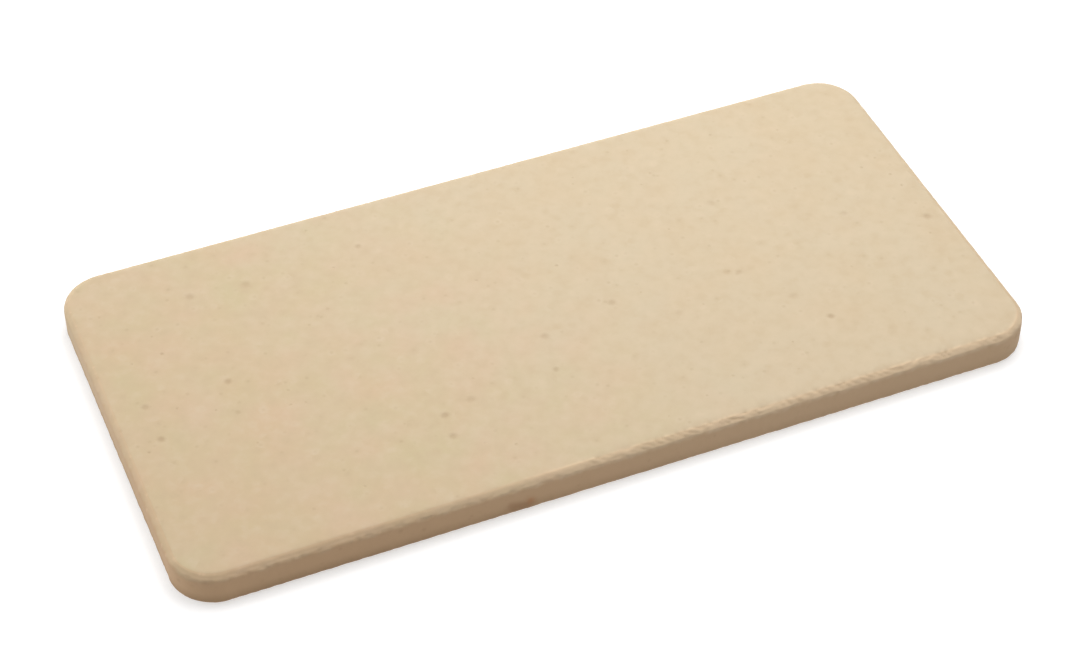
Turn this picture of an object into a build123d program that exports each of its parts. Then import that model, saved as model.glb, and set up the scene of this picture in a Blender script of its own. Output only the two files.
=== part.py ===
from build123d import *

import os

# Soldering board: one slab of fired ceramic, pressed to shape, with round plan corners, a bevelled
# rim round the work face and a finer bevel round the underside. It lies flat on its underside.
# Origin at the centre of the underside, X along the length, Y across the width, Z up.

# Driving dimensions, in millimetres
LENGTH = 305.0
WIDTH = 150.0
THICKNESS = 12.7
CORNER_RADIUS = 15.5
WORK_FACE_BEVEL = 1.8
UNDERSIDE_BEVEL = 1.0


def pressed_blank() -> Part:
    """The plain slab as it leaves the mould, with upright sides and round corners."""
    outline = RectangleRounded(LENGTH, WIDTH, CORNER_RADIUS)
    return extrude(outline, amount=THICKNESS)


def bevel_rim(slab: Part, face_index: int, bevel: float) -> Part:
    """The slab with the whole rim of its lowest (0) or highest (-1) face broken at 45 degrees."""
    face = slab.faces().sort_by(Axis.Z)[face_index]
    return chamfer(face.outer_wire().edges(), bevel)


def soldering_board() -> Part:
    """The finished board, with its work face on top."""
    board = bevel_rim(pressed_blank(), -1, WORK_FACE_BEVEL)
    return bevel_rim(board, 0, UNDERSIDE_BEVEL)


os.makedirs("parts", exist_ok=True)
export_step(soldering_board(), "parts/soldering_board.step")
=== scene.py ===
"""The looks of a soldering board: one dry-pressed, fired slab of bare refractory ceramic.

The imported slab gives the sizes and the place. This script lays a finer slab over it, with the relief
that pressing, firing and fettling leave, dresses it, and sets it on a pale studio floor.
Sizes written here are in millimetres and end in _mm. Everything else is in metres.
"""

import logging
import math
from dataclasses import dataclass
from enum import Enum
from typing import Any, Self

import bpy
import numpy as np
from mathutils import Euler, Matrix, Vector, geometry, noise

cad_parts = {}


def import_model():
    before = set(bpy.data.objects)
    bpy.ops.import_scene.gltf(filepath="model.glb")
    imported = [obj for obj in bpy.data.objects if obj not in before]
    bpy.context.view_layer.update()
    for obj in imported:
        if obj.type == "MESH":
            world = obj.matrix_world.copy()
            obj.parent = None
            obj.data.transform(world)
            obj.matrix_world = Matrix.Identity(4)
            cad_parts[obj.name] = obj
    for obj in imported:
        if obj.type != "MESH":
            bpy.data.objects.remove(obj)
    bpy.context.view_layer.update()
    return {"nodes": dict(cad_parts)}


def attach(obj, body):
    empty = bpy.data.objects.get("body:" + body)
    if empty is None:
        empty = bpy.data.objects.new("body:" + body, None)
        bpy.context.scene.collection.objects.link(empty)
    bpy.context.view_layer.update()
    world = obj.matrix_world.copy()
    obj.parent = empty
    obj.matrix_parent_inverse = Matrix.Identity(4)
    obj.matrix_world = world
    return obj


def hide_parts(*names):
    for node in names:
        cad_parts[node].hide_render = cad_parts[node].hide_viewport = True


MM = 0.001
NODE = "soldering_board"
BODY = "root"

# Noise is sampled in a tilted frame, or its lattice would line up with the slab and show as a weave
TILT = Euler((0.6, 0.4, 0.9))

# Rings of mesh points round a pit: each ring's share of the pit's radius, and its number of points
PIT_RINGS = ((0.35, 6), (0.7, 8), (1.0, 10), (1.3, 12))

# Sockets of a colour mix node, which repeats its input names
MIX_A, MIX_B, MIX_RESULT = 6, 7, 2

Array = np.ndarray
Colour = tuple[float, float, float, float]
Pixel = tuple[float, float]
Place = tuple[float, float, float]
Span = tuple[float, float]

LOG = logging.getLogger(NODE)


def linear(hex_colour: str) -> Colour:
    """Turn an sRGB hex colour into linear light.

    Args:
        hex_colour: A hash sign and six hex digits.

    Returns:
        Linear red, green and blue, and an alpha of one.
    """
    channels = [int(hex_colour[i:i + 2], 16) / 255 for i in (1, 3, 5)]
    bent = [c / 12.92 if c <= 0.04045 else ((c + 0.055) / 1.055) ** 2.4 for c in channels]
    return (*bent, 1.0)


def add_node(
    tree: bpy.types.NodeTree, kind: str, inputs: dict[str | int, Any], **options: Any
) -> bpy.types.Node:
    """Add a node, choose its options, and set or link its inputs.

    Args:
        tree: The node tree that takes the node.
        kind: Blender's name for the node, without its ShaderNode prefix.
        inputs: A value, or another node's output, for each input by its name or number.
        **options: The node's own options, such as its operation.

    Returns:
        The new node.
    """
    node = tree.nodes.new("ShaderNode" + kind)
    for name, value in options.items():
        setattr(node, name, value)
    for name, value in inputs.items():
        if isinstance(value, bpy.types.NodeSocket):
            tree.links.new(value, node.inputs[name])
        else:
            node.inputs[name].default_value = value
    return node


def rough(points: Array, grain_mm: float, octaves: int = 1) -> Array:
    """Sample smooth noise whose bumps are about one grain apart.

    Args:
        points: Places, one to a row.
        grain_mm: The distance between bumps.
        octaves: How many finer layers are added up.

    Returns:
        A height from 0 to 1 for each place.
    """
    scaled = (points @ np.array(TILT.to_matrix()) / (grain_mm * MM)).tolist()
    return np.array([0.5 + 0.5 * noise.fractal(p, 1.0, 2.0, octaves) for p in scaled]).clip(0.0, 1.0)


def rise(values: Array, start: float, end: float) -> Array:
    """Climb smoothly from 0 at the start to 1 at the end, and stay level beyond them.

    Args:
        values: Where to look.
        start: The value that gives 0.
        end: The value that gives 1, which may be the lower one.

    Returns:
        The height at each value.
    """
    share = ((values - start) / (end - start)).clip(0.0, 1.0)
    return share * share * (3.0 - 2.0 * share)


class Zone(Enum):
    """The slab's surfaces, named by what made each one."""

    PUNCHED = "pressed by the lower punch"
    DIE_WALL = "pushed out along the die"
    FETTLED = "scraped by hand along the rim"
    GROUND = "ground flat for work"


class Mark(Enum):
    """What the mesh tells the finish about each of its points."""

    FLUSH = "flush"
    ROSY = "rosy"
    STRAW = "straw"
    # The die's skin, partly painted shade that darkens and warms the sides
    SKIN = "skin"
    FRESH = "fresh"
    # Dark stains in pits, and painted shade in the scraper strokes and at the foot of the sides
    SOOT = "soot"
    WASH = "wash"
    RUST = "rust"


class Speck(Enum):
    """Dark specks on the work face.

    Each holds the photograph's pixel that shows it, right and down, its radius in mm, and how much of
    the body's colour it hides.
    """

    LEFT_FAR = (190, 297, 2.4, 0.23)
    LEFT_FAR_INNER = (246, 284, 2.4, 0.17)
    LEFT_MIDDLE = (228, 381, 1.8, 0.32)
    LEFT_EDGE = (145, 407, 2.1, 0.27)
    LEFT_EDGE_NEAR = (161, 439, 1.9, 0.34)
    LEFT_NEAR = (238, 412, 1.3, 0.19)
    NEAR_CENTRE = (445, 415, 2.0, 0.32)
    NEAR_CENTRE_RIGHT = (472, 399, 2.3, 0.17)
    NEAR_CENTRE_LOW = (453, 436, 2.1, 0.26)
    FAR_LEFT = (358, 246, 1.6, 0.24)
    MIDDLE_NEAR = (556, 369, 1.6, 0.27)
    MIDDLE = (545, 336, 2.1, 0.24)
    CENTRE = (612, 302, 2.1, 0.26)
    CENTRE_RIGHT = (679, 313, 2.2, 0.12)
    FAR_RIGHT = (711, 203, 2.4, 0.12)
    PAIR_LEFT = (727, 272, 2.0, 0.1)
    PAIR_RIGHT = (739, 272, 1.8, 0.19)
    RIGHT_CENTRE = (794, 296, 2.4, 0.11)
    RIGHT_NEAR = (831, 316, 1.8, 0.36)
    RIGHT_FAR = (844, 213, 2.0, 0.17)
    RIGHT_EDGE = (927, 216, 2.2, 0.29)


@dataclass(frozen=True)
class BoardSizes:
    """The slab's own sizes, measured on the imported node."""

    half_length: float
    half_width: float
    thickness: float
    corner_radius: float
    work_bevel: float
    under_bevel: float

    @classmethod
    def from_node(cls, node: bpy.types.Object) -> Self:
        """Measure the slab.

        Args:
            node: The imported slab, which lies on the floor with its middle at the origin.

        Returns:
            The slab's sizes.
        """
        points = np.array([v.co for v in node.data.vertices])
        top = points.max(0)
        near = 0.01 * MM
        work_face = points[points[:, 2] > top[2] - near]
        underside = points[points[:, 2] < near]
        end_wall = points[points[:, 0] > top[0] - near]
        return cls(
            half_length=top[0],
            half_width=top[1],
            thickness=top[2],
            corner_radius=top[1] - end_wall[:, 1].max(),
            work_bevel=top[0] - work_face[:, 0].max(),
            under_bevel=top[0] - underside[:, 0].max(),
        )


@dataclass(frozen=True)
class PhotoCamera:
    """The camera of the photograph: level, and looking down across the board from its front left."""

    azimuth_deg: float = -22.58
    elevation_deg: float = 44.27
    distance_mm: float = 925.7
    aim_mm: Place = (-0.89, -0.16, -0.50)
    lens_mm: float = 88.99
    sensor_mm: float = 36.0
    width_px: float = 1080.0
    height_px: float = 667.0

    def back(self) -> Vector:
        """Point from the aim to the eye."""
        a, e = math.radians(self.azimuth_deg), math.radians(self.elevation_deg)
        return Vector((math.sin(a) * math.cos(e), -math.cos(a) * math.cos(e), math.sin(e)))

    def eye(self) -> Vector:
        """Give the place of the lens."""
        return (Vector(self.aim_mm) + self.back() * self.distance_mm) * MM

    def on_plane(self, pixel: Pixel, point: Place, normal: Place) -> Array:
        """Find what a pixel of the photograph shows on a plane.

        Args:
            pixel: Right and down from the photograph's upper left corner.
            point: A point of the plane.
            normal: The plane's normal.

        Returns:
            The place on the plane.
        """
        turn = self.back().to_track_quat("Z", "Y")
        per_pixel = self.sensor_mm / self.width_px / self.lens_mm
        right, down = pixel[0] - self.width_px / 2, pixel[1] - self.height_px / 2
        ray = turn @ Vector((right * per_pixel, -down * per_pixel, -1.0))
        hit = geometry.intersect_line_plane(self.eye(), self.eye() + ray, Vector(point), Vector(normal))
        return np.array(hit)

    def build(self) -> bpy.types.Object:
        """Make the camera and hand it to the scene.

        Returns:
            The camera.
        """
        data = bpy.data.cameras.new("photo_camera")
        data.lens = self.lens_mm
        data.sensor_width = self.sensor_mm
        camera = bpy.data.objects.new("photo_camera", data)
        camera.location = self.eye()
        camera.rotation_mode = "QUATERNION"
        camera.rotation_quaternion = self.back().to_track_quat("Z", "Y")
        bpy.context.scene.collection.objects.link(camera)
        bpy.context.scene.camera = camera
        return camera


@dataclass(frozen=True)
class FiredRefractory:
    """Fireclay and grog, dry pressed, fired without glaze and left bare.

    Bare fired clay scatters nearly all its light and hardly shines. The eye sees an even warm beige
    with slightly paler and darker grains of grog in it, a warm flush in rosy and straw patches where
    the kiln burned hotter, small dark dots where iron melted out, and a browner skin on the sides,
    which were never ground. The skin also carries painted shade on the sides, darker and warmer, and
    the soot colour paints shade in the scraper strokes and at the foot of the sides.
    """

    body: str = "#C6B69B"
    flushed: str = "#C6B08F"
    rosy: str = "#CEAE98"
    straw: str = "#BCB48A"
    pale_grog: str = "#CDBCA2"
    tan_grog: str = "#BEA98A"
    # Partly painted shade: the sides' skin, darker and warmer than the die leaves it
    die_skin_and_shade: str = "#BF9E7A"
    slag: str = "#8C6B4A"
    scraped: str = "#D8BE9D"
    # Dark stains in pits; also painted shade in the scraper strokes and at the foot of the sides
    soot: str = "#937453"
    iron_wash: str = "#9A724E"
    rust: str = "#B57A48"
    roughness_low: float = 0.82
    roughness_high: float = 0.94
    diffuse_roughness: float = 0.5
    ior: float = 1.5
    sand_mm: float = 4.2
    grog_mm: float = 4.6
    grog_contrast: float = 0.38
    grog_core: float = 0.25
    grog_edge: float = 0.5
    tone_reach: float = 0.72
    slag_spacing_mm: float = 4.6
    slag_radius_mm: float = 1.1
    slag_share: float = 0.17
    # Real pores are about a tenth of this, too fine for the picture, so they are drawn coarser.
    pore_mm: float = 0.6
    pore_depth_mm: float = 0.02

    def material(self) -> bpy.types.Material:
        """Make the finish.

        Returns:
            The material.
        """
        material = bpy.data.materials.new("fired_refractory_bare")
        material.use_nodes = True
        tree = material.node_tree
        tree.nodes.clear()
        slab = add_node(tree, "TexCoord", {}).outputs["Object"]
        place = add_node(tree, "Mapping", {"Vector": slab, "Rotation": TILT}).outputs["Vector"]
        sand, pores = (
            add_node(
                tree, "TexNoise", {"Vector": place, "Scale": 1.0 / (size_mm * MM), "Detail": layers},
            ).outputs["Fac"]
            for size_mm, layers in ((self.sand_mm, 2.0), (self.pore_mm, 1.0))
        )
        grains = self._grains(tree, place, sand)
        roughness = add_node(
            tree, "MapRange",
            {"Value": sand, "To Min": self.roughness_low, "To Max": self.roughness_high},
        )
        height = add_node(tree, "Math", {0: pores, 1: grains}, operation="ADD")
        bump = add_node(
            tree, "Bump",
            {"Strength": 1.0, "Distance": self.pore_depth_mm * MM, "Height": height.outputs[0]},
        )
        shader = add_node(
            tree, "BsdfPrincipled",
            {
                "Base Color": self._colour(tree, place, grains),
                "Roughness": roughness.outputs["Result"],
                "Diffuse Roughness": self.diffuse_roughness,
                "IOR": self.ior,
                "Normal": bump.outputs["Normal"],
            },
        )
        add_node(tree, "OutputMaterial", {"Surface": shader.outputs["BSDF"]})
        return material

    def _grains(
        self, tree: bpy.types.NodeTree, place: bpy.types.NodeSocket, sand: bpy.types.NodeSocket
    ) -> bpy.types.NodeSocket:
        """Set grains of crushed, fired clay in the sand, each with a tone of its own.

        Args:
            tree: The material's nodes.
            place: The place on the slab.
            sand: The sand's tone.

        Returns:
            The tone, near 0.5 with grains on both sides of it.
        """
        cells = add_node(tree, "TexVoronoi", {"Vector": place, "Scale": 1.0 / (self.grog_mm * MM)})
        chance = add_node(tree, "SeparateColor", {"Color": cells.outputs["Color"]}).outputs["Red"]
        grain = add_node(
            tree, "MapRange",
            {
                "Value": cells.outputs["Distance"],
                "From Min": self.grog_core,
                "From Max": self.grog_edge,
                "To Min": 1.0,
                "To Max": 0.0,
            },
        ).outputs["Result"]
        tone = add_node(tree, "Math", {0: chance, 1: 0.5}, operation="SUBTRACT").outputs[0]
        in_grain = add_node(tree, "Math", {0: tone, 1: grain}, operation="MULTIPLY").outputs[0]
        return add_node(
            tree, "Math", {0: in_grain, 1: self.grog_contrast, 2: sand}, operation="MULTIPLY_ADD",
        ).outputs[0]

    def _slag_dots(self, tree: bpy.types.NodeTree, place: bpy.types.NodeSocket) -> bpy.types.NodeSocket:
        """Scatter dots of melted iron through the body, of all sizes up to the largest.

        Args:
            tree: The material's nodes.
            place: The place on the slab.

        Returns:
            How much slag covers each place.
        """
        scale = 1.0 / (self.slag_spacing_mm * MM)
        cells = add_node(tree, "TexVoronoi", {"Vector": place, "Scale": scale})
        chance = add_node(tree, "SeparateColor", {"Color": cells.outputs["Color"]}).outputs["Green"]
        strength = add_node(
            tree, "Math", {0: chance, 1: self.slag_share}, operation="MULTIPLY",
        ).outputs[0]
        return add_node(
            tree, "MapRange",
            {
                "Value": cells.outputs["Distance"],
                "From Min": 0.0,
                "From Max": self.slag_radius_mm / self.slag_spacing_mm,
                "To Min": strength,
                "To Max": 0.0,
            },
            interpolation_type="SMOOTHSTEP",
        ).outputs["Result"]

    def _colour(
        self, tree: bpy.types.NodeTree, place: bpy.types.NodeSocket, grains: bpy.types.NodeSocket
    ) -> bpy.types.NodeSocket:
        """Colour the body by its firing and grains, then lay each mark over it.

        Args:
            tree: The material's nodes.
            place: The place on the slab.
            grains: The grains' tone.

        Returns:
            The colour.
        """
        pale, tan = (
            add_node(
                tree, "MapRange", {"Value": grains, "From Min": 0.5, "From Max": full},
            ).outputs["Result"]
            for full in (0.5 + self.tone_reach, 0.5 - self.tone_reach)
        )
        marks = {
            mark: add_node(tree, "Attribute", {}, attribute_name=mark.value).outputs["Fac"]
            for mark in Mark
        }
        colour = linear(self.body)
        for share, shade in (
            (marks[Mark.FLUSH], self.flushed),
            (marks[Mark.ROSY], self.rosy),
            (marks[Mark.STRAW], self.straw),
            (pale, self.pale_grog),
            (tan, self.tan_grog),
            (marks[Mark.SKIN], self.die_skin_and_shade),
            (self._slag_dots(tree, place), self.slag),
            (marks[Mark.FRESH], self.scraped),
            (marks[Mark.SOOT], self.soot),
            (marks[Mark.WASH], self.iron_wash),
            (marks[Mark.RUST], self.rust),
        ):
            inputs = {"Factor": share, MIX_A: colour, MIX_B: linear(shade)}
            colour = add_node(tree, "Mix", inputs, data_type="RGBA").outputs[MIX_RESULT]
        return colour


@dataclass(frozen=True)
class Dent:
    """A pit or a chip: a shallow, uneven hollow, and the mark that it leaves."""

    centre: Array
    radius: float
    depth: float
    mark: Mark
    share: float

    def reach(self, points: Array) -> Array:
        """Say how far from the centre to the hollow's edge each place lies.

        Args:
            points: Places, one to a row.

        Returns:
            0 at the centre, rising to 1 at the edge and beyond.
        """
        uneven = 0.8 + 0.4 * rough(points, 0.9 * self.radius / MM)
        share = np.linalg.norm(points - self.centre, axis=1) / self.radius * uneven
        return share.clip(0.0, 1.0)


@dataclass(frozen=True)
class IronStain:
    """The rusty spot low on the front wall, at the right end of a brown wash along the lower edge."""

    spot_px: Pixel = (531.0, 500.5)
    wash_from_px: Pixel = (529.0, 504.0)
    wash_to_px: Pixel = (514.0, 507.0)
    spot_radius_mm: float = 1.3
    wash_radius_mm: float = 2.2
    spot_share: float = 0.5
    wash_share: float = 0.6

    def shares(self, points: Array, photo: PhotoCamera, half_width: float) -> dict[Mark, Array]:
        """Work out how much rust and wash cover each place.

        Args:
            points: Places, one to a row.
            photo: The camera whose pixels place the stain.
            half_width: The distance from the slab's middle to its front wall.

        Returns:
            A share from 0 to 1 for each place, by mark.
        """
        wall, forward = (0.0, -half_width, 0.0), (0.0, -1.0, 0.0)
        spot, start, end = (
            photo.on_plane(pixel, wall, forward)
            for pixel in (self.spot_px, self.wash_from_px, self.wash_to_px)
        )
        uneven = 0.6 + 0.8 * rough(points, self.wash_radius_mm, 2)
        run = end - start
        along = ((points - start) @ run / (run @ run)).clip(0.0, 1.0)
        beside = np.linalg.norm(points - start - along[:, None] * run, axis=1)
        from_spot = np.linalg.norm(points - spot, axis=1)
        rust = np.exp(-(from_spot * uneven / (self.spot_radius_mm * MM)) ** 2)
        wash = np.exp(-(beside * uneven / (self.wash_radius_mm * MM)) ** 2)
        return {Mark.RUST: self.spot_share * rust, Mark.WASH: self.wash_share * wash}


@dataclass(frozen=True)
class Firing:
    """How the kiln coloured the slab: a warm flush, in patches, towards the end that burned hotter."""

    slant: float = 0.5
    cloud_mm: float = 34.0
    mottle_mm: float = 9.0
    patch_mm: float = 16.0
    cold_flush: float = 0.16
    hot_flush: float = 0.65
    uneven_flush: float = 0.4
    cold_patches: float = 0.08
    patch_share: float = 0.62

    def along(self, points: Array) -> Array:
        """Measure along the slab, away from its hot left end and front corner."""
        return points[:, 0] + self.slant * points[:, 1]

    def hot_end(self, points: Array, half_length: float) -> Array:
        """Climb from 0 near the slab's middle to 1 at its hot end."""
        return rise(self.along(points), 0.2 * half_length, -half_length)

    def shares(self, points: Array, half_length: float) -> dict[Mark, Array]:
        """Work out how flushed, how rosy and how straw-coloured each place came out.

        Args:
            points: Places, one to a row.
            half_length: The distance from the slab's middle to its end.

        Returns:
            A share from 0 to 1 for each place, by mark.
        """
        uneven = rough(points, self.cloud_mm, 2) + rough(points, self.mottle_mm) - 1.0
        flush = self.cold_flush + self.hot_flush * self.hot_end(points, half_length)
        flush += self.uneven_flush * uneven
        warm = rise(self.along(points), 0.25 * half_length, -0.35 * half_length)
        patchy = self.cold_patches + (1.0 - self.cold_patches) * warm
        tint = self.patch_share * patchy * (rough(points, self.patch_mm, 4) - 0.5)
        return {
            Mark.FLUSH: flush.clip(0.0, 1.0),
            Mark.ROSY: tint.clip(0.0, 1.0),
            Mark.STRAW: (-tint).clip(0.0, 1.0),
        }


@dataclass
class Skin:
    """Points of the slab's surface before it is roughened, with what each one is part of."""

    points: Array
    inward: Array
    along: Array
    zone: Array
    arris: Array

    def __add__(self, other: "Skin") -> "Skin":
        """Put two stretches of surface one after the other."""
        return Skin(*(np.concatenate(pair) for pair in zip(vars(self).values(), vars(other).values())))

    def part_of(self, zone: Zone) -> Array:
        """Tell which points lie in a zone."""
        return self.zone == list(Zone).index(zone)


@dataclass
class SolderingBoard:
    """The slab, as one closed mesh that is fine enough to hold pits, chips and scraper strokes."""

    sizes: BoardSizes
    finish: FiredRefractory
    firing: Firing
    stain: IronStain
    photo: PhotoCamera
    seed: int = 7

    # Gaps between the mesh's points
    station_gap_mm: float = 0.6
    wall_gap_mm: float = 0.7
    bevel_gap_mm: float = 0.4
    work_face_gap_mm: float = 1.25
    underside_gap_mm: float = 2.8

    # The rim's section: the radius of each arris, and how far the rim reaches in over the faces
    under_arris_mm: float = 0.5
    foot_arris_mm: float = 2.0
    brow_arris_mm: float = 1.6
    face_margin_mm: float = 3.2

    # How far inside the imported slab's box every point stays
    box_margin_mm: float = 0.02

    # Relief of the pressed, dragged and scraped surfaces: the width of its bumps, and their depth
    sand_mm: float = 2.3
    sand_depth_mm: float = 0.06
    ripple_mm: float = 9.0
    ripple_depth_mm: float = 0.06
    drag_mm: float = 1.5
    drag_stretch: float = 0.1
    drag_depth_mm: float = 0.05
    scrape_mm: float = 1.6
    scrape_depth_mm: float = 0.10

    # The front bevel, which wavers, crumbles and is cut by strokes where the scraper chattered
    waver_mm: float = 3.2
    waver_depth_mm: float = 0.35
    crumble_mm: float = 2.6
    crumble_reach_mm: float = 1.0
    crumble_depth_mm: float = 0.5
    gentle_share: float = 0.25
    foot_spared: float = 0.2
    spared_mm: float = 0.25
    spared_run_mm: float = 40.0
    stroke_gap_mm: float = 3.3
    stroke_lean: float = -2.2
    stroke_wander: float = 2.2
    stroke_depth_mm: float = 0.32
    stroke_elsewhere: float = 0.12
    chatter_from_mm: float = -8.0
    chatter_to_mm: float = 138.0
    chatter_fade_mm: float = 12.0

    # Pits and chips: how many, the least and the greatest radius, depth to radius, and stain
    work_pits: int = 50
    work_pit_mm: Span = (0.5, 0.9)
    underside_pits: int = 80
    underside_pit_mm: Span = (0.5, 1.1)
    pit_soot: Span = (0.05, 0.22)
    pit_depth: float = 0.25
    speck_depth: float = 0.1
    pit_spacing: float = 2.0
    wall_pits: int = 40
    wall_pit_soot: Span = (0.1, 0.25)
    chips: int = 260
    chip_fresh: Span = (0.1, 0.5)
    rim_dent_mm: Span = (0.5, 1.2)
    rim_dent_depth: Span = (0.15, 0.35)

    # The die's brown skin and the walls' painted shade: how much is left, the width of ragged and
    # missed patches
    punched_skin: float = 0.6
    wall_skin_and_shade: float = 0.77
    # Painted shade: extra skin that darkens the walls towards the hot left end
    hot_end_shade: float = 0.2
    bevel_skin: float = 0.4
    scraped_skin: float = 0.2
    missed_skin: float = 0.25
    # Painted light: the skin thins towards the back, so the sides come out lighter there
    back_painted_light: float = 0.65
    ragged_mm: float = 3.0
    ragged_reach: float = 0.8
    missed_mm: float = 4.0

    # Over the skin: painted shade at the walls' foot, rubbed arrises, fresh clay where it was shaved
    foot_shade_mm: float = 6.0
    foot_shade_share: float = 0.5
    foot_shade_cold: float = 0.35
    rubbed_mm: float = 7.0
    rubbed_reach_mm: float = 0.35
    rubbed_share: float = 0.2
    ridge_mm: float = 12.0
    ridge_climb: float = 0.4
    ridge_width: float = 0.14
    ridge_share: float = 0.5
    shaved_run_mm: float = 90.0
    shaved_share: float = 0.5
    # Painted shadow inside the scraper strokes: the soot colour's share at a stroke's deepest
    stroke_shadow: float = 0.25

    def build(self) -> bpy.types.Object:
        """Make the slab's mesh, roughen it and dress it.

        Returns:
            The slab.
        """
        rng = np.random.default_rng(self.seed)
        rim, stations = self._rim()
        skin = rim
        rows = len(rim.points) // stations
        faces = self._rim_faces(rows, stations)
        dents = self._rim_dents(rim, rng)
        for top, gap_mm in ((True, self.work_face_gap_mm), (False, self.underside_gap_mm)):
            pits = self._face_pits(top, rng)
            inner = self._with_rings(self._inner_points(gap_mm, rng), pits, gap_mm * MM)
            first = (rows - 1) * stations if top else 0
            loop = np.arange(first, first + stations)
            index = np.concatenate([loop, len(skin.points) + np.arange(len(inner))])
            flat = np.concatenate([rim.points[loop, :2], inner])
            faces += [list(index[list(f if top else f[::-1])]) for f in self._triangles(flat, stations)]
            skin = skin + self._flat(inner, top)
            dents += pits
        hollow, stains = self._carve(skin, dents)
        strokes = self._strokes(skin)
        depth = np.maximum(self._relief(skin, strokes), hollow)
        mesh = bpy.data.meshes.new(NODE)
        points = self._boxed(skin.points + skin.inward * depth[:, None])
        mesh.from_pydata(points.tolist(), [], faces)
        mesh.shade_smooth()
        for mark, values in self._marks(skin, strokes, stains).items():
            layer = mesh.attributes.new(mark.value, "FLOAT", "POINT")
            layer.data.foreach_set("value", values.astype(np.float32))
        mesh.materials.append(self.finish.material())
        board = bpy.data.objects.new("fired_slab", mesh)
        bpy.context.scene.collection.objects.link(board)
        return board

    def _outline(self) -> tuple[Array, Array]:
        """Walk round the slab's plan, anticlockwise.

        Returns:
            Places on the outline, and the outward direction at each.
        """
        s = self.sizes
        reach = np.array([s.half_length, s.half_width]) - s.corner_radius
        gap = self.station_gap_mm * MM
        bend = np.linspace(0.0, math.pi / 2, 1 + round(s.corner_radius * math.pi / 2 / gap))
        arcs = []
        for quarter, signs in enumerate(((1, 1), (-1, 1), (-1, -1), (1, -1))):
            turn = bend + quarter * math.pi / 2
            normals = np.stack([np.cos(turn), np.sin(turn)], 1)
            arcs.append((reach * signs + s.corner_radius * normals, normals))
        points, normals = [], []
        for here, following in zip(arcs, arcs[1:] + arcs[:1]):
            run = following[0][0] - here[0][-1]
            steps = round(np.linalg.norm(run) / gap)
            share = np.arange(1, steps)[:, None] / steps
            points += [here[0], here[0][-1] + share * run]
            normals += [here[1], np.repeat(here[1][-1:], steps - 1, 0)]
        return np.concatenate(points), np.concatenate(normals)

    def _section(self) -> tuple[Array, Array, Array]:
        """Draw the rim's section, from the underside up the wall to the work face.

        Returns:
            Inset and height of each point, its zone, and how near it is to an arris.
        """
        s = self.sizes
        margin = self.face_margin_mm * MM
        corners = np.array([
            (margin, 0.0), (s.under_bevel, 0.0), (0.0, s.under_bevel),
            (0.0, s.thickness - s.work_bevel), (s.work_bevel, s.thickness), (margin, s.thickness),
        ])
        under_mm = self.under_arris_mm
        radii_mm = (0.0, under_mm, under_mm, self.foot_arris_mm, self.brow_arris_mm, 0.0)
        round_off = [radius * MM * math.tan(math.pi / 8) for radius in radii_mm]
        bends = [3 if radius_mm > 1.0 else 1 for radius_mm in radii_mm]
        zones = (Zone.PUNCHED, Zone.FETTLED, Zone.DIE_WALL, Zone.FETTLED, Zone.GROUND)
        order = list(Zone)
        path, zone, arris = [], [], []
        last = len(zones) - 1
        for k, (start, end) in enumerate(zip(corners, corners[1:])):
            length = np.linalg.norm(end - start)
            run = (end - start) / length
            low, high = round_off[k], length - round_off[k + 1]
            gap_mm = self.bevel_gap_mm if zones[k] is Zone.FETTLED else self.wall_gap_mm
            steps = max(1, round((high - low) / (gap_mm * MM)))
            for at in np.linspace(low, high, steps + 1):
                path.append(start + run * at)
                zone.append(order.index(zones[k]))
                arris.append(min([at] * (k > 0) + [length - at] * (k < last)))
            if k < last:
                following = corners[k + 2] - end
                after = end + following / np.linalg.norm(following) * round_off[k + 1]
                before = path[-1]
                for t in np.linspace(0.0, 1.0, bends[k + 1] + 2)[1:-1]:
                    path.append((1.0 - t) ** 2 * before + 2.0 * t * (1.0 - t) * end + t * t * after)
                    zone.append(order.index(zones[k]))
                    arris.append(abs(2.0 * t - 1.0) * round_off[k + 1])
        return np.array(path), np.array(zone), np.array(arris)

    def _rim(self) -> tuple[Skin, int]:
        """Carry the section round the outline.

        Returns:
            The rim, row by row from the underside up, and the number of points in a row.
        """
        outline, normals = self._outline()
        section, zone, arris = self._section()
        count = len(outline)
        slope = np.gradient(section, axis=0)
        slope /= np.linalg.norm(slope, axis=1)[:, None]
        steps = np.linalg.norm(np.roll(outline, -1, 0) - outline, axis=1)
        along = np.concatenate([[0.0], np.cumsum(steps)[:-1]])
        points, inward = [], []
        for (inset, height), (d_inset, d_height) in zip(section, slope):
            points.append(np.column_stack([outline - inset * normals, np.full(count, height)]))
            inward.append(np.column_stack([-normals * d_height, np.full(count, -d_inset)]))
        rim = Skin(
            points=np.concatenate(points),
            inward=np.concatenate(inward),
            along=np.tile(along, len(section)),
            zone=np.repeat(zone, count),
            arris=np.repeat(arris, count),
        )
        return rim, count

    def _rim_faces(self, rows: int, count: int) -> list[list[int]]:
        """Join the rim's rows with four-sided faces.

        Args:
            rows: The number of rows.
            count: The number of points in a row.

        Returns:
            Each face's points, by number.
        """
        here = np.arange(count)
        after = (here + 1) % count
        ring = np.stack([here, after, after + count, here + count], 1)
        return [list(face) for row in range(rows - 1) for face in ring + row * count]

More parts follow.
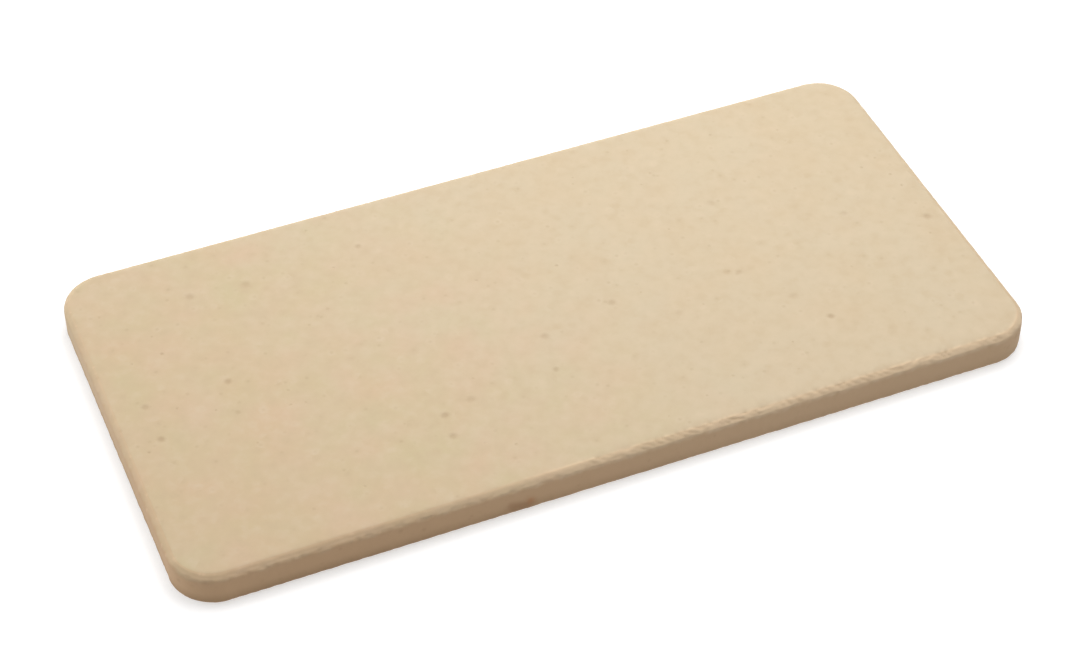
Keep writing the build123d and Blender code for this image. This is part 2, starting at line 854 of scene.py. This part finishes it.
    def _inner_points(self, gap_mm: float, rng: np.random.Generator) -> Array:
        """Scatter points over a flat face, inside the rim.

        Args:
            gap_mm: The distance between points.
            rng: The source of each point's small shift.

        Returns:
            The points' places in plan.
        """
        s = self.sizes
        gap = gap_mm * MM
        inset = self.face_margin_mm * MM + 0.6 * gap
        step = np.array([gap, gap * math.sqrt(0.75)])
        reach = np.array([s.half_length, s.half_width]) - inset
        columns, rows = np.floor(2 * reach / step).astype(int)
        x, y = np.meshgrid(np.arange(columns + 1), np.arange(rows + 1))
        grid = np.stack([x + 0.5 * (y % 2), y], -1).reshape(-1, 2) * step - reach
        grid += rng.uniform(-0.2, 0.2, grid.shape) * gap
        radius = s.corner_radius - inset
        beyond = np.abs(grid) - (reach - radius)
        outside = np.linalg.norm(beyond.clip(0.0), axis=1) > radius
        return grid[~outside]

    def _with_rings(self, plan: Array, pits: list[Dent], gap: float) -> Array:
        """Swap the points near each pit for rings of closer ones.

        Args:
            plan: The face's points, in plan.
            pits: The pits in the face.
            gap: The distance between the face's points.

        Returns:
            The face's points, in plan.
        """
        rings = []
        for pit in pits:
            middle = pit.centre[:2]
            clear = PIT_RINGS[-1][0] * pit.radius + 0.45 * gap
            plan = plan[np.linalg.norm(plan - middle, axis=1) > clear]
            rings.append(middle[None])
            for share, count in PIT_RINGS:
                turn = (np.arange(count) + share) * 2 * math.pi / count
                rings.append(middle + share * pit.radius * np.stack([np.cos(turn), np.sin(turn)], 1))
        return np.concatenate([plan, *rings])

    def _flat(self, plan: Array, top: bool) -> Skin:
        """Lay points on the work face or the underside.

        Args:
            plan: The points' places in plan.
            top: Whether they lie on the work face.

        Returns:
            The stretch of surface.
        """
        count = len(plan)
        height = self.sizes.thickness if top else 0.0
        zone = Zone.GROUND if top else Zone.PUNCHED
        return Skin(
            points=np.column_stack([plan, np.full(count, height)]),
            inward=np.tile((0.0, 0.0, -1.0 if top else 1.0), (count, 1)),
            along=np.zeros(count),
            zone=np.full(count, list(Zone).index(zone)),
            arris=np.full(count, self.face_margin_mm * MM),
        )

    def _triangles(self, plan: Array, loop_count: int) -> list[list[int]]:
        """Fill a loop and the points inside it with triangles.

        Args:
            plan: Places in plan, with the loop's own first, anticlockwise.
            loop_count: The number of points on the loop.

        Returns:
            Each triangle's points, anticlockwise, by number.
        """
        edges = [(i, (i + 1) % loop_count) for i in range(loop_count)]
        in_mm = [Vector(p) for p in (plan / MM).tolist()]
        inside_only, same_point_mm = 1, 1e-5
        made = geometry.delaunay_2d_cdt(in_mm, edges, [], inside_only, same_point_mm)
        source = [ids[0] for ids in made[3]]
        return [[source[i] for i in face] for face in made[2]]

    def _face_pits(self, top: bool, rng: np.random.Generator) -> list[Dent]:
        """Place the pits of a flat face, on the work face after the photograph's specks.

        Args:
            top: Whether the face is the work face.
            rng: The source of the small pits' places and sizes.

        Returns:
            The pits, none of which touch.
        """
        s = self.sizes
        height = s.thickness if top else 0.0
        pits = []
        if top:
            for right, down, radius_mm, share in (speck.value for speck in Speck):
                centre = self.photo.on_plane((right, down), (0.0, 0.0, height), (0.0, 0.0, 1.0))
                radius = radius_mm * MM
                pits.append(Dent(centre, radius, self.speck_depth * radius, Mark.SOOT, share))
        wanted = len(pits) + (self.work_pits if top else self.underside_pits)
        span_mm = self.work_pit_mm if top else self.underside_pit_mm
        reach = np.array([s.half_length, s.half_width]) - s.corner_radius / 2
        while len(pits) < wanted:
            centre = np.append(rng.uniform(-reach, reach), height)
            radius = rng.uniform(*span_mm) * MM
            share = rng.uniform(*self.pit_soot)
            room = [self.pit_spacing * (pit.radius + radius) for pit in pits]
            if all(np.linalg.norm(pit.centre - centre) > gap for pit, gap in zip(pits, room)):
                pits.append(Dent(centre, radius, self.pit_depth * radius, Mark.SOOT, share))
        return pits

    def _rim_dents(self, rim: Skin, rng: np.random.Generator) -> list[Dent]:
        """Place pits in the wall and chips along the arrises.

        Args:
            rim: The rim.
            rng: The source of their places and sizes.

        Returns:
            The pits and chips.
        """
        wall = np.flatnonzero(rim.part_of(Zone.DIE_WALL) & (rim.arris > MM))
        edge = np.flatnonzero(rim.arris == 0.0)
        dents = []
        for places, count, mark, stain in (
            (wall, self.wall_pits, Mark.SOOT, self.wall_pit_soot),
            (edge, self.chips, Mark.FRESH, self.chip_fresh),
        ):
            for point in rim.points[rng.choice(places, count, replace=False)]:
                radius = rng.uniform(*self.rim_dent_mm) * MM
                depth = rng.uniform(*self.rim_dent_depth) * radius
                dents.append(Dent(point, radius, depth, mark, rng.uniform(*stain)))
        return dents

    def _carve(self, skin: Skin, dents: list[Dent]) -> tuple[Array, dict[Mark, Array]]:
        """Sink the pits and chips into the surface.

        Args:
            skin: The surface.
            dents: The pits and chips.

        Returns:
            The depth of each point, and a share from 0 to 1 for each point, by mark.
        """
        depth = np.zeros(len(skin.points))
        shares = {mark: np.zeros(len(skin.points)) for mark in Mark}
        for dent in dents:
            near = np.flatnonzero(np.abs(skin.points - dent.centre).max(1) < 1.5 * dent.radius)
            reach = dent.reach(skin.points[near])
            depth[near] = np.maximum(depth[near], dent.depth * (1.0 - reach ** 2) ** 2)
            stain = dent.share * rise(reach, 1.0, 0.3)
            shares[dent.mark][near] = np.maximum(shares[dent.mark][near], stain)
        return depth, shares

    def _boxed(self, points: Array) -> Array:
        """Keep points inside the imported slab's box."""
        s = self.sizes
        high = np.array([s.half_length, s.half_width, s.thickness]) - self.box_margin_mm * MM
        return points.clip((-high[0], -high[1], self.box_margin_mm * MM), high)

    def _climb(self, skin: Skin) -> Array:
        """Say how far up the work face's bevel each point is, from 0 at its foot to 1 at the face."""
        s = self.sizes
        return (skin.points[:, 2] - s.thickness + s.work_bevel) / s.work_bevel

    def _edge(self, skin: Skin) -> Array:
        """Give 1 on an arris, fading to 0 away from it."""
        return np.exp(-(skin.arris / (self.crumble_reach_mm * MM)) ** 2)

    def _lip(self, skin: Skin) -> Array:
        """Give 1 on the work face's bevel, fading to 0 at its foot and just past its brow."""
        past_brow = np.where(skin.part_of(Zone.GROUND), self._edge(skin), 1.0)
        return rise(self._climb(skin), 0.0, 0.5) * past_brow

    def _chatter(self, skin: Skin) -> Array:
        """Give 1 along the front edge where the scraper chattered, fading at both ends."""
        start_mm, end_mm, fade_mm = self.chatter_from_mm, self.chatter_to_mm, self.chatter_fade_mm
        begun = self._along_front(skin, start_mm - fade_mm, start_mm)
        return begun * self._along_front(skin, end_mm + fade_mm, end_mm)

    def _front(self, skin: Skin) -> Array:
        """Give 1 along the front edge, fading to 0 round its corners."""
        s = self.sizes
        behind = skin.points[:, 1] + s.half_width
        return rise(behind, s.corner_radius, 0.3 * s.corner_radius)

    def _along_front(self, skin: Skin, start_mm: float, end_mm: float) -> Array:
        """Climb from 0 to 1 along the length of the front edge, and stay 0 elsewhere.

        Args:
            skin: The surface.
            start_mm: The place along the length that gives 0.
            end_mm: The place along the length that gives 1.

        Returns:
            The share at each point.
        """
        return self._front(skin) * rise(skin.points[:, 0], start_mm * MM, end_mm * MM)

    def _spared_mm(self, skin: Skin) -> Array:
        """Say how much of the bevel the hand left standing, which is some of its right half.

        Args:
            skin: The surface.

        Returns:
            The height left at each point, in millimetres.
        """
        bevel = rise(self._climb(skin), -0.2, 0.2) * ~skin.part_of(Zone.GROUND)
        start_mm = self.chatter_from_mm
        right_half = self._along_front(skin, start_mm - self.spared_run_mm, start_mm)
        return self.spared_mm * bevel * right_half

    def _relief(self, skin: Skin, strokes: Array) -> Array:
        """Work out how far sand, ripples, drag lines, uneven scraping and crumbling lower each point.

        Args:
            skin: The surface.
            strokes: How deep in a scraper stroke each point is.

        Returns:
            The depth of each point.
        """
        depth = self.sand_depth_mm * rough(skin.points, self.sand_mm)
        depth += self.ripple_depth_mm * rough(skin.points, self.ripple_mm)
        upright = skin.points * (1.0, 1.0, self.drag_stretch)
        depth += skin.part_of(Zone.DIE_WALL) * self.drag_depth_mm * rough(upright, self.drag_mm)
        depth += skin.part_of(Zone.FETTLED) * self.scrape_depth_mm * rough(skin.points, self.scrape_mm)
        lip = self._lip(skin)
        chatter = self._chatter(skin)
        waver = lip * np.maximum(self.gentle_share, chatter)
        depth += self.waver_depth_mm * waver * rough(skin.points, self.waver_mm, 2)
        depth -= self._spared_mm(skin)
        climb = self._climb(skin)
        foot = rise(climb, -1.0, -0.2) * rise(climb, 0.7, 0.3) * self._front(skin)
        broken = foot * (1.0 - self.foot_spared * chatter) + lip * chatter
        crumble = np.maximum(self.gentle_share, broken) * self._edge(skin)
        bites = rise(rough(skin.points, self.crumble_mm, 2), 0.2, 0.9)
        depth += self.crumble_depth_mm * crumble * bites
        return (depth + self.stroke_depth_mm * strokes) * MM

    def _strokes(self, skin: Skin) -> Array:
        """Cut slanting strokes into the work face's bevel, deepest where the scraper chattered.

        Args:
            skin: The surface.

        Returns:
            How deep in a stroke each point is, from 0 to 1.
        """
        climb = self._climb(skin)
        slant = skin.along - climb * self.sizes.work_bevel * self.stroke_lean
        turn = slant / (self.stroke_gap_mm * MM)
        turn += self.stroke_wander * rough(skin.points, 2.0 * self.stroke_gap_mm)
        tooth = 1.0 - np.abs(2.0 * (turn % 1.0) - 1.0)
        strength = self.stroke_elsewhere + (1.0 - self.stroke_elsewhere) * self._chatter(skin)
        uneven = rise(rough(skin.points, 1.7 * self.stroke_gap_mm), 0.3, 0.65)
        return self._lip(skin) * strength * uneven * tooth ** 2

    def _upper(self, skin: Skin) -> Array:
        """Tell which points lie in the slab's upper half."""
        return skin.points[:, 2] > 0.5 * self.sizes.thickness

    def _worn_off(self, skin: Skin) -> Array:
        """Say how much of the die's skin the scraper took, which at the front reaches below the bevel.

        Args:
            skin: The surface.

        Returns:
            A share from 0 to 1 for each point, which holds in the upper half only.
        """
        ragged = self._climb(skin) + self.ragged_reach * (rough(skin.points, self.ragged_mm, 2) - 0.5)
        front = self._front(skin)
        return front * rise(ragged, -0.9, 0.3) + (1.0 - front) * rise(ragged, -0.2, 0.3)

    def _skin_and_shade_left(self, skin: Skin, hot_end: Array, scraped: Array, worn_off: Array) -> Array:
        """Say how much of the die's brown skin shows, partly as painted shade and painted light on the
        sides.

        Args:
            skin: The surface.
            hot_end: How near to the hot end each point is.
            scraped: How hard the scraper went over the edge at each point.
            worn_off: How much skin the scraper took in the upper half.

        Returns:
            A share from 0 to 1 for each point.
        """
        s = self.sizes
        patches = rise(rough(skin.points, self.missed_mm, 2), 0.42, 0.65)
        missed = rise(self._climb(skin), 0.5, 0.0) * patches
        # Painted shade: the walls' skin share, darker and warmer, with more of it towards the hot left
        # end
        wall = self.wall_skin_and_shade + self.hot_end_shade * hot_end
        bevel = self.bevel_skin - self.scraped_skin * scraped + self.missed_skin * missed
        off_wall = np.where(self._upper(skin), worn_off, skin.part_of(Zone.FETTLED))
        # Painted light: less skin towards the back, so the sides come out lighter there
        lit_towards_back = 1.0 - self.back_painted_light * rise(skin.points[:, 1], -s.half_width, s.half_width)
        side = (wall + (bevel - wall) * off_wall) * lit_towards_back
        left = {Zone.PUNCHED: self.punched_skin, Zone.DIE_WALL: side, Zone.FETTLED: side}
        return sum(share * skin.part_of(zone) for zone, share in left.items())

    def _marks(self, skin: Skin, strokes: Array, stains: dict[Mark, Array]) -> dict[Mark, Array]:
        """Say what the finish needs to know of each point.

        Args:
            skin: The surface.
            strokes: How deep in a scraper stroke each point is.
            stains: What the pits and chips leave on it.

        Returns:
            A share from 0 to 1 for each point, by mark.
        """
        s = self.sizes
        start_mm = self.chatter_from_mm
        hot_end = self.firing.hot_end(skin.points, s.half_length)
        scraped = self._along_front(skin, start_mm - self.shaved_run_mm, start_mm)
        worn_off = self._worn_off(skin)
        # Painted shade: darker towards the foot of the sides, strongest at the hot end, in uneven
        # patches
        foot = rise(skin.points[:, 2], 0.45 * s.thickness, 0.0) * ~skin.part_of(Zone.PUNCHED)
        foot_shade = foot * (self.foot_shade_cold + (1.0 - self.foot_shade_cold) * hot_end)
        foot_shade *= self.foot_shade_share * (0.6 + 0.8 * rough(skin.points, self.foot_shade_mm))
        rubbed = np.exp(-(skin.arris / (self.rubbed_reach_mm * MM)) ** 2)
        rubbed *= rough(skin.points, self.rubbed_mm)
        ridge = np.exp(-((self._climb(skin) - self.ridge_climb) / self.ridge_width) ** 2)
        ridge *= rough(skin.points, self.ridge_mm)
        ridge *= self._along_front(skin, start_mm, start_mm - self.spared_run_mm)
        bared = np.where(skin.part_of(Zone.GROUND), self._lip(skin), self._upper(skin) * worn_off)
        fresh = (
            stains[Mark.FRESH],
            self.rubbed_share * rubbed,
            self.ridge_share * ridge,
            self.shaved_share * scraped * bared,
        )
        return {
            **self.firing.shares(skin.points, s.half_length),
            # The die's skin, partly painted shade and painted light on the sides
            Mark.SKIN: self._skin_and_shade_left(skin, hot_end, scraped, worn_off),
            Mark.FRESH: np.maximum.reduce(fresh),
            # Pit stains, painted shadow in the strokes, and painted shade at the foot of the sides
            Mark.SOOT: np.maximum.reduce([stains[Mark.SOOT], self.stroke_shadow * strokes, foot_shade]),
            **self.stain.shares(skin.points, self.photo, s.half_width),
        }


@dataclass(frozen=True)
class SoftBox:
    """A flat lamp behind white cloth, out of the camera's sight."""

    name: str
    place_mm: Place
    width_mm: float
    depth_mm: float
    watts: float
    aim_mm: Place = (0.0, 0.0, 0.0)

    def hang(self) -> None:
        """Make the lamp and turn it to its aim."""
        data = bpy.data.lights.new(self.name, "AREA")
        data.shape = "RECTANGLE"
        data.size = self.width_mm * MM
        data.size_y = self.depth_mm * MM
        data.energy = self.watts
        place, aim = Vector(self.place_mm), Vector(self.aim_mm)
        lamp = bpy.data.objects.new(self.name, data)
        lamp.location = place * MM
        lamp.rotation_mode = "QUATERNION"
        lamp.rotation_quaternion = (place - aim).to_track_quat("Z", "Y")
        lamp.visible_camera = False
        bpy.context.scene.collection.objects.link(lamp)


@dataclass(frozen=True)
class Studio:
    """A pale floor, one soft box above it and one off each end."""

    floor_half_mm: float = 4000.0
    floor_shade: str = "#BDBDBD"
    floor_glow: float = 0.56
    sky_shade: str = "#FFFFFF"
    sky_strength: float = 0.26
    boxes: tuple[SoftBox, ...] = (
        SoftBox("soft_box_above", (106.0, 116.0, 690.0), 540.0, 540.0, 6.07, (32.0, 35.0, 0.0)),
        SoftBox("soft_box_left", (-1160.0, 660.0, 500.0), 1000.0, 1200.0, 10.2, (-100.0, 0.0, 0.0)),
        SoftBox("soft_box_right", (1400.0, 120.0, 600.0), 1000.0, 1400.0, 1.5, (100.0, 0.0, 0.0)),
    )

    def build(self) -> None:
        """Set up the floor, the light and the plain picture style."""
        self._floor()
        self._sky()
        for box in self.boxes:
            box.hang()
        bpy.context.scene.view_settings.view_transform = "Standard"

    def _floor(self) -> None:
        """Lay a matt white table under the slab, lit a little from below so that shadows stay faint."""
        half = self.floor_half_mm * MM
        mesh = bpy.data.meshes.new("studio_floor")
        corners = [(-half, -half, 0.0), (half, -half, 0.0), (half, half, 0.0), (-half, half, 0.0)]
        mesh.from_pydata(corners, [], [(0, 1, 2, 3)])
        acrylic = bpy.data.materials.new("matt_white_acrylic")
        acrylic.use_nodes = True
        shader = acrylic.node_tree.nodes["Principled BSDF"]
        shader.inputs["Base Color"].default_value = linear(self.floor_shade)
        shader.inputs["Roughness"].default_value = 1.0
        shader.inputs["Specular IOR Level"].default_value = 0.0
        shader.inputs["Emission Color"].default_value = linear(self.sky_shade)
        shader.inputs["Emission Strength"].default_value = self.floor_glow
        mesh.materials.append(acrylic)
        floor = bpy.data.objects.new("studio_floor", mesh)
        bpy.context.scene.collection.objects.link(floor)

    def _sky(self) -> None:
        """Fill the shadows with even white light."""
        world = bpy.data.worlds.new("studio_sky")
        world.use_nodes = True
        background = world.node_tree.nodes["Background"]
        background.inputs["Color"].default_value = linear(self.sky_shade)
        background.inputs["Strength"].default_value = self.sky_strength
        bpy.context.scene.world = world


def main() -> None:
    """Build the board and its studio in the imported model's frame."""
    logging.basicConfig(level=logging.INFO, format="%(name)s: %(message)s")
    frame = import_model()
    photo = PhotoCamera()
    photo.build()
    sizes = BoardSizes.from_node(frame["nodes"][NODE])
    board = SolderingBoard(sizes, FiredRefractory(), Firing(), IronStain(), photo).build()
    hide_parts(NODE)
    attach(board, BODY)
    triangles = sum(len(face.vertices) - 2 for face in board.data.polygons)
    LOG.info("%s has %d triangles", board.name, triangles)
    Studio().build()
    LOG.info("studio is set")


if __name__ == "__main__":
    main()
